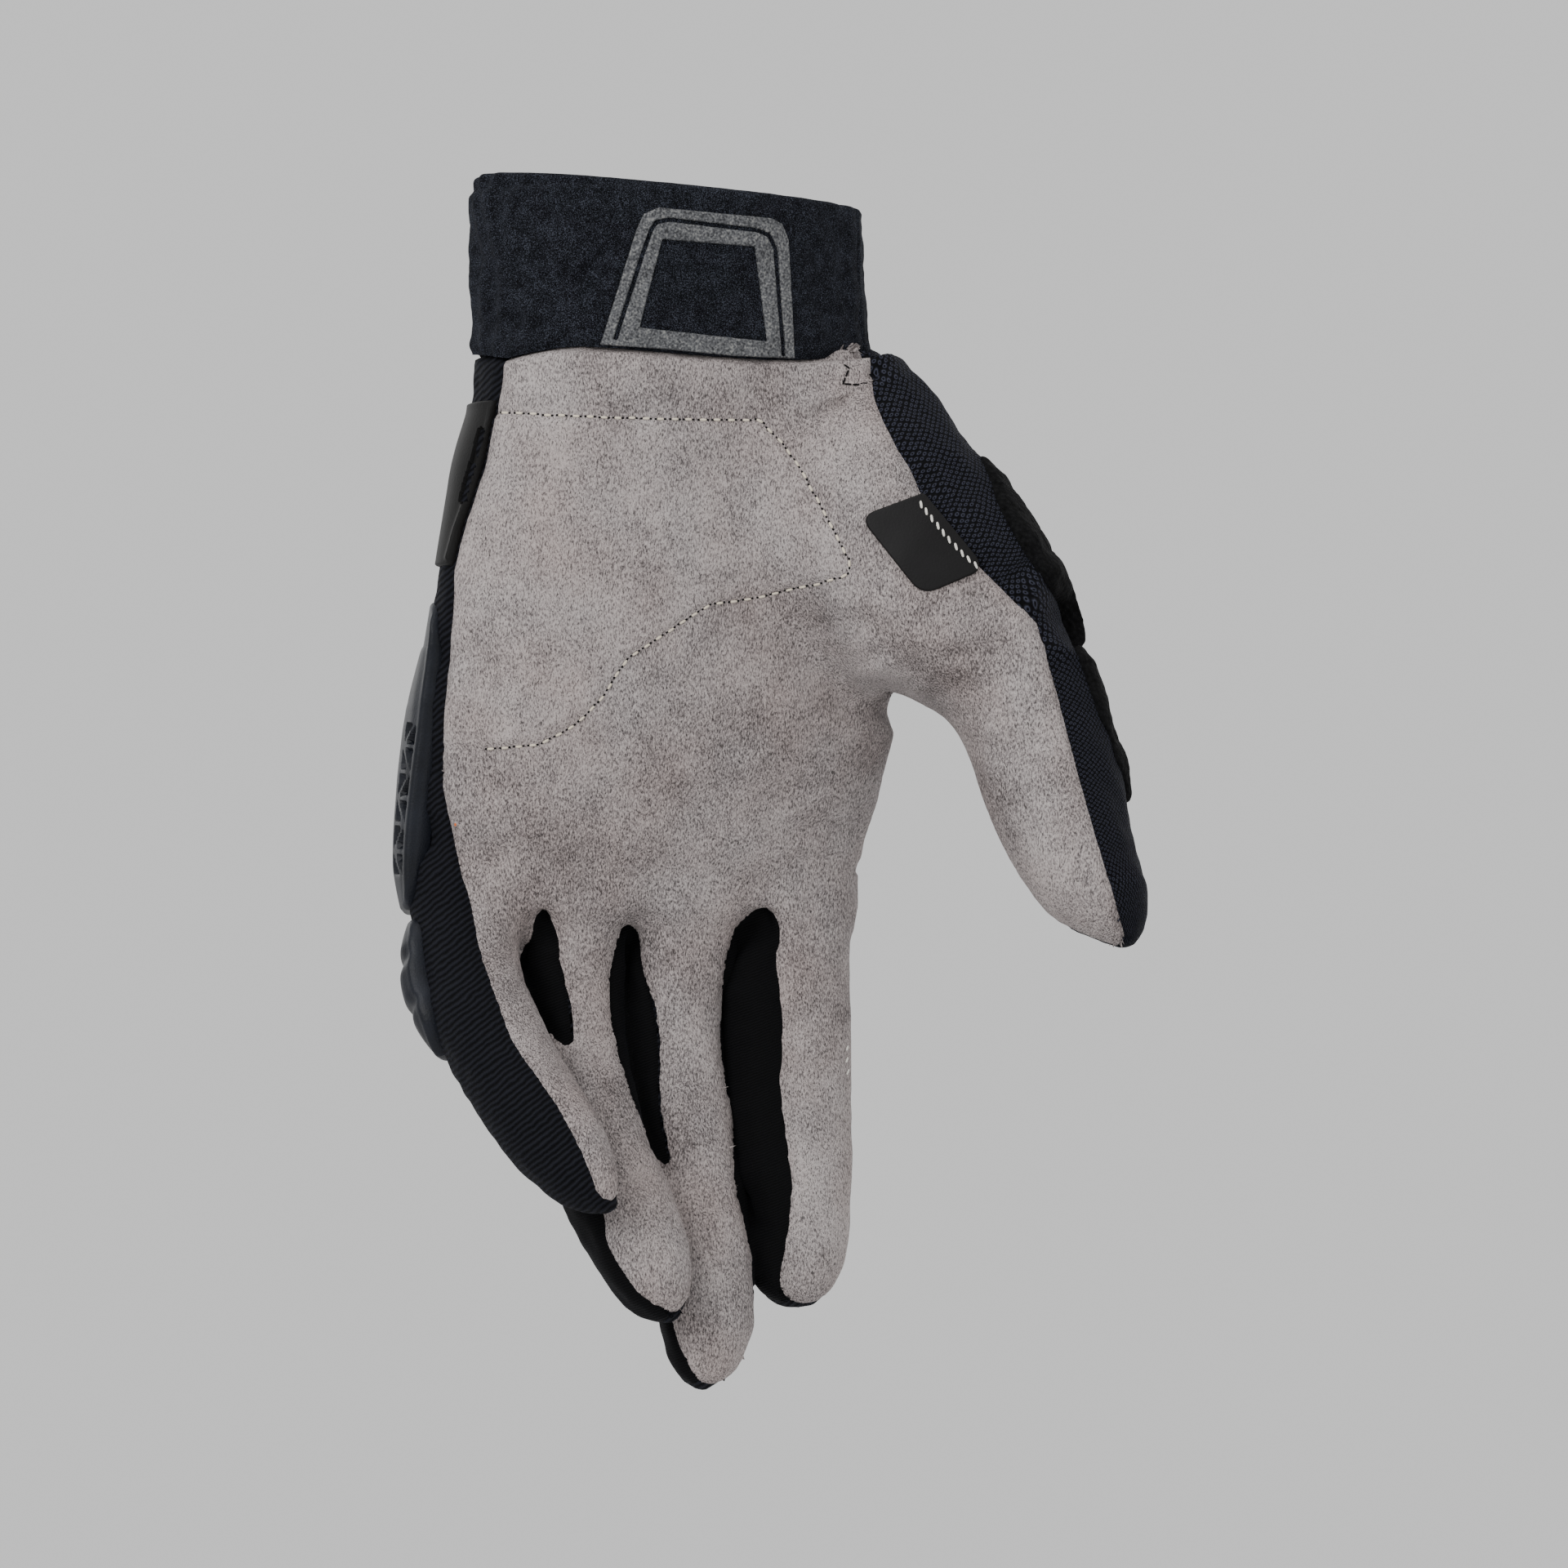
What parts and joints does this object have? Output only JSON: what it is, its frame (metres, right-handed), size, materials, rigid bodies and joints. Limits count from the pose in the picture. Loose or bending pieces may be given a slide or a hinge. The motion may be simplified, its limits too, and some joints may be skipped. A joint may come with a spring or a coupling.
{
  "type": "mountain bike glove",
  "caption": "Left-hand cycling glove, filled out as if worn: suede palm, knit back, mesh thumb with a wipe, short elastic cuff and moulded knuckle guards.",
  "frame": {"origin": "middle of the wrist opening, where the wrist goes in", "axes": "+Z out of the cuff, fingers towards -Z, palm towards -Y, thumb towards +X"},
  "size_m": [0.1421, 0.0686, 0.2279],
  "materials": {
    "palm": "synthetic suede",
    "back_hand": "black knit",
    "thumb_panel": "navy knit mesh",
    "gusset_little_ring": "stretch cloth",
    "gusset_ring_middle": "stretch cloth",
    "gusset_middle_index": "stretch cloth",
    "cuff": "fuzzy loop cloth on foam",
    "cuff_print": "speckled silicone print",
    "knuckle_guard": "moulded, satin",
    "little_guard": "moulded, satin",
    "wrist_badge": "smooth, matte",
    "thumb_wipe": "terry",
    "grip_label": "woven tab, bare"
  },
  "bodies": {
    "root": {"palm": "palm", "back_hand": "back_hand", "thumb_panel": "thumb_panel", "gusset_little_ring": "gusset_little_ring", "gusset_ring_middle": "gusset_ring_middle", "gusset_middle_index": "gusset_middle_index", "cuff": "cuff", "cuff_print": "cuff_print", "knuckle_guard": "knuckle_guard", "little_guard": "little_guard", "wrist_badge": "wrist_badge", "thumb_wipe": "thumb_wipe", "grip_label": "grip_label"}
  },
  "joints": []
}
